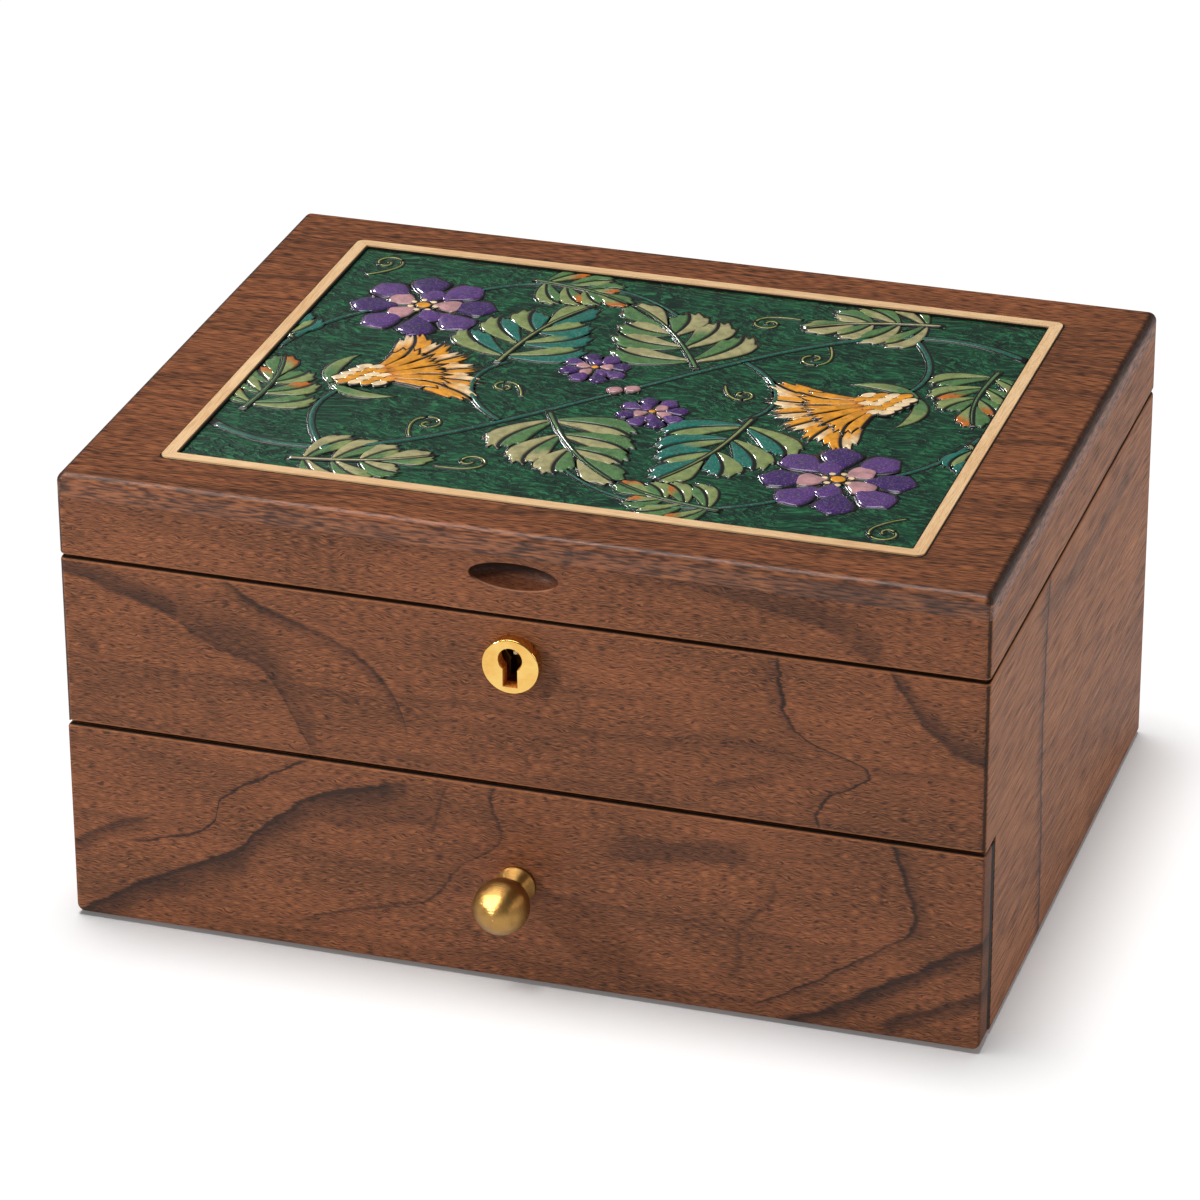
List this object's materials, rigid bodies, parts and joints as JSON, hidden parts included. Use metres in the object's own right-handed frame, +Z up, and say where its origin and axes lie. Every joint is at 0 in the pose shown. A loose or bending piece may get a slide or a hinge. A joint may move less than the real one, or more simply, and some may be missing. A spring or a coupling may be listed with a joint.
{
  "type": "lockable jewellery box",
  "caption": "Walnut jewellery box with a framed decorative lid panel, a box lock, lined trays with ring rolls, and a full-width drawer with a turned knob.",
  "frame": {"origin": "centre of the footprint, on the surface that the box stands on", "axes": "+X to the box's right as seen from the front, +Y towards the hinges at the back, +Z up"},
  "size_m": [0.3, 0.2552, 0.1575],
  "materials": {
    "walnut": "satin oiled walnut",
    "inner_wood": "plain planed wood",
    "light_banding": "pale satin wood strip",
    "black_line": "black stringing",
    "enamel": "glossy coloured relief",
    "polished_brass": "polished",
    "satin_brass": "satin turned",
    "lock_brass": "plain drawn brass",
    "hinge_brass": "satin",
    "velvet": "short dark green velvet",
    "ring_velvet": "short dark green velvet over foam",
    "felt": "dark green felt",
    "mirror": "silvered glass"
  },
  "bodies": {
    "case": {"base_felt": "felt", "carcase_back_panel": "walnut", "carcase_bottom": "inner_wood", "carcase_front_panel": "walnut", "carcase_left_side": "walnut", "carcase_right_side": "walnut", "compartment_divider_cross": "velvet", "compartment_divider_rear_1": "velvet", "compartment_divider_rear_2": "velvet", "compartment_divider_ring": "velvet", "compartment_floor_pad": "velvet", "compartment_lining_back": "velvet", "compartment_lining_front": "velvet", "compartment_lining_left": "velvet", "compartment_lining_right": "velvet", "drawer_stop": "inner_wood", "dust_board": "inner_wood", "escutcheon": "polished_brass", "hinge_leaf_lower_left": "hinge_brass", "hinge_leaf_lower_right": "hinge_brass", "hinge_pins": "hinge_brass", "hinge_screws_lower": "hinge_brass", "lock_cap": "lock_brass", "lock_case": "lock_brass", "lock_drill_pin": "lock_brass", "lock_screws": "hinge_brass", "lock_spring": "lock_brass", "ring_roll_1": "ring_velvet", "ring_roll_2": "ring_velvet", "ring_roll_3": "ring_velvet", "ring_roll_4": "ring_velvet", "ring_roll_5": "ring_velvet"},
    "lid": {"decorative_panel": "enamel", "hinge_leaf_upper_left": "hinge_brass", "hinge_leaf_upper_right": "hinge_brass", "hinge_screws_upper": "hinge_brass", "inlay_banding": "light_banding", "inlay_lines": "black_line", "lid_lining": "velvet", "lid_mirror": "mirror", "lid_rim_back": "walnut", "lid_rim_front": "walnut", "lid_rim_left": "walnut", "lid_rim_right": "walnut", "lid_top_board": "walnut", "mirror_frame": "walnut", "strike_plate": "lock_brass", "strike_screws": "hinge_brass"},
    "drawer": {"drawer_back": "inner_wood", "drawer_bottom": "inner_wood", "drawer_divider_cross_1": "velvet", "drawer_divider_cross_2": "velvet", "drawer_divider_long": "velvet", "drawer_floor_pad": "velvet", "drawer_front": "walnut", "drawer_knob": "satin_brass", "drawer_left_side": "inner_wood", "drawer_right_side": "inner_wood", "knob_screw": "hinge_brass"},
    "lock_bolt": {"lock_bolt": "lock_brass"}
  },
  "joints": [
    {"name": "lid_hinge", "type": "hinge", "parent": "case", "child": "lid", "pos_m": [0, 0.1157, 0.1285], "axis": [-1, 0, 0], "range_deg": [0, 95]},
    {"name": "drawer_slide", "type": "slide", "parent": "case", "child": "drawer", "axis": [0, -1, 0], "range_m": [0, 0.15]},
    {"name": "lock_bolt_slide", "type": "slide", "parent": "case", "child": "lock_bolt", "axis": [1, 0, 0], "range_m": [0, 0.0036]}
  ]
}
